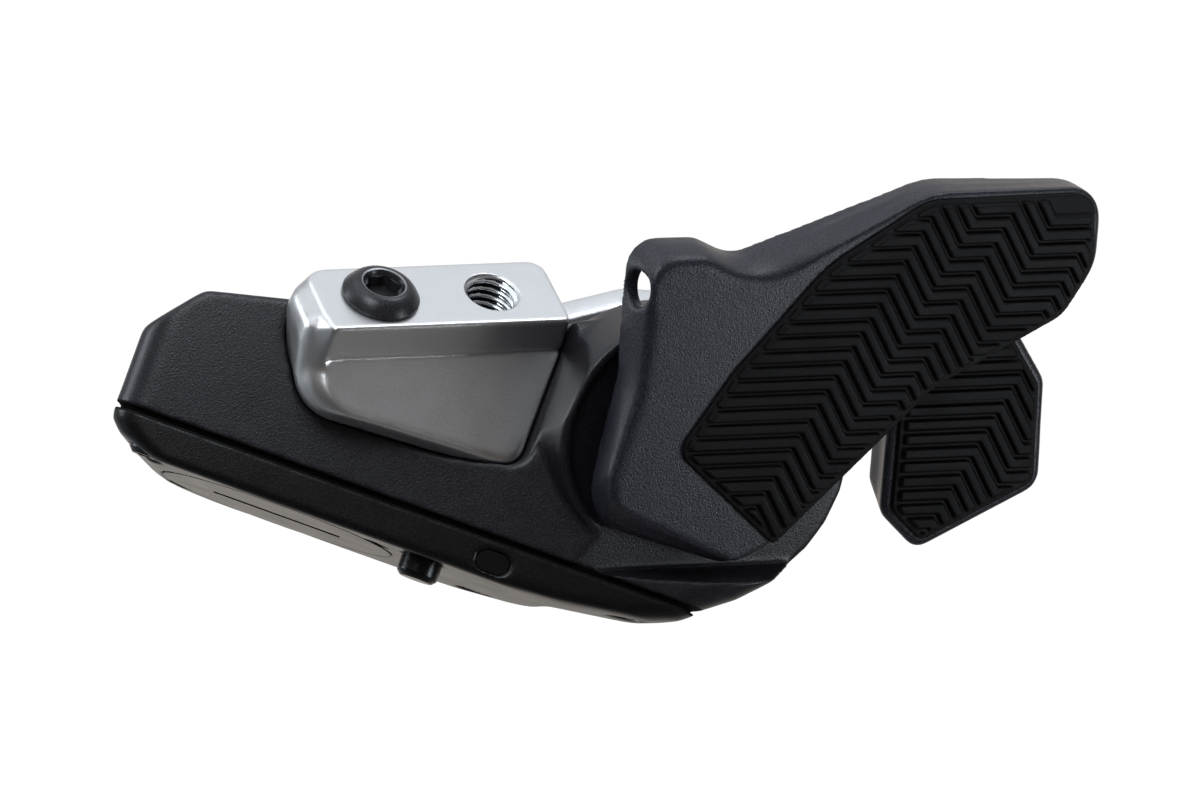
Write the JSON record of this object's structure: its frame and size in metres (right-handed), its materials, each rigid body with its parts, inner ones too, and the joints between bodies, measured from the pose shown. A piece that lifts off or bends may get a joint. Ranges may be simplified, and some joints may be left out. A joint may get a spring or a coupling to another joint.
{
  "type": "electronic shifter",
  "caption": "Electronic shifter pod for the right end of a flat handlebar: two-pad rocker paddle with ribbed grips, sealed black body, battery door, silver mount bracket.",
  "frame": {"origin": "mouth of the open threaded hole in the bracket's mount face", "axes": "+X along the handlebar towards its right end, +Y away from the rider, +Z out of the mount face towards the bar clamp"},
  "size_m": [0.0844, 0.0475, 0.0513],
  "materials": {
    "shell_black": "fine-textured satin black",
    "cover_black": "smooth satin black",
    "seal_rubber": "dark elastomer",
    "cast_alloy": "fine satin, edges brighter",
    "bolt_black": "black oxide, half gloss",
    "bright_steel": "bright zinc",
    "cell_steel": "fine brushed",
    "contact_metal": "gold flash",
    "board": "solder mask",
    "shield_can": "matt tin",
    "switch_black": "moulded",
    "led_body": "milky",
    "window": "clear light pipe",
    "button_black": "satin",
    "flex_film": "amber film",
    "bushing": "natural acetal",
    "spring_steel": "wire",
    "carrier_metal": "tumbled",
    "paddle_black": "fine-textured satin black",
    "grip_rubber": "dull over-moulded elastomer"
  },
  "bodies": {
    "pod": {"upper_housing": "shell_black", "lower_cover": "cover_black", "seam_gasket": "seal_rubber", "clamp_bracket": "cast_alloy", "clamp_bolt": "bolt_black", "bracket_screws": "bright_steel", "cover_screws": "bright_steel", "coin_cell": "cell_steel", "cell_clip": "contact_metal", "cell_leaf": "contact_metal", "circuit_board": "board", "radio_module": "shield_can", "button_switch": "switch_black", "status_led": "led_body", "led_window": "window", "button_seal": "seal_rubber", "rocker_switches": "switch_black", "switch_flex": "flex_film", "pivot_pin": "bright_steel", "centring_spring": "spring_steel"},
    "door": {"battery_door": "cover_black", "door_seal": "seal_rubber"},
    "button": {"function_button": "button_black"},
    "rocker": {"rocker_carrier": "carrier_metal", "carrier_bolt": "bolt_black", "rocker_paddle": "paddle_black", "upper_grip": "grip_rubber", "lower_grip": "grip_rubber", "pivot_bushings": "bushing"}
  },
  "joints": [
    {"name": "rocker_pivot", "type": "hinge", "parent": "pod", "child": "rocker", "pos_m": [0.0152, -0.0143, 0.0015], "axis": [1, 0, 0], "range_deg": [-3.5, 3.5], "stiffness_Nm_per_rad": 0.4},
    {"name": "button_press", "type": "slide", "parent": "pod", "child": "button", "axis": [0.3784, 0.5435, 0.7493], "range_m": [0, 0.0005], "stiffness_N_per_m": 300},
    {"name": "door_turn", "type": "hinge", "parent": "pod", "child": "door", "pos_m": [-0.01483, 0.00012, -0.02516], "axis": [-0.3784, -0.5435, -0.7493], "range_deg": [0, 35]}
  ]
}
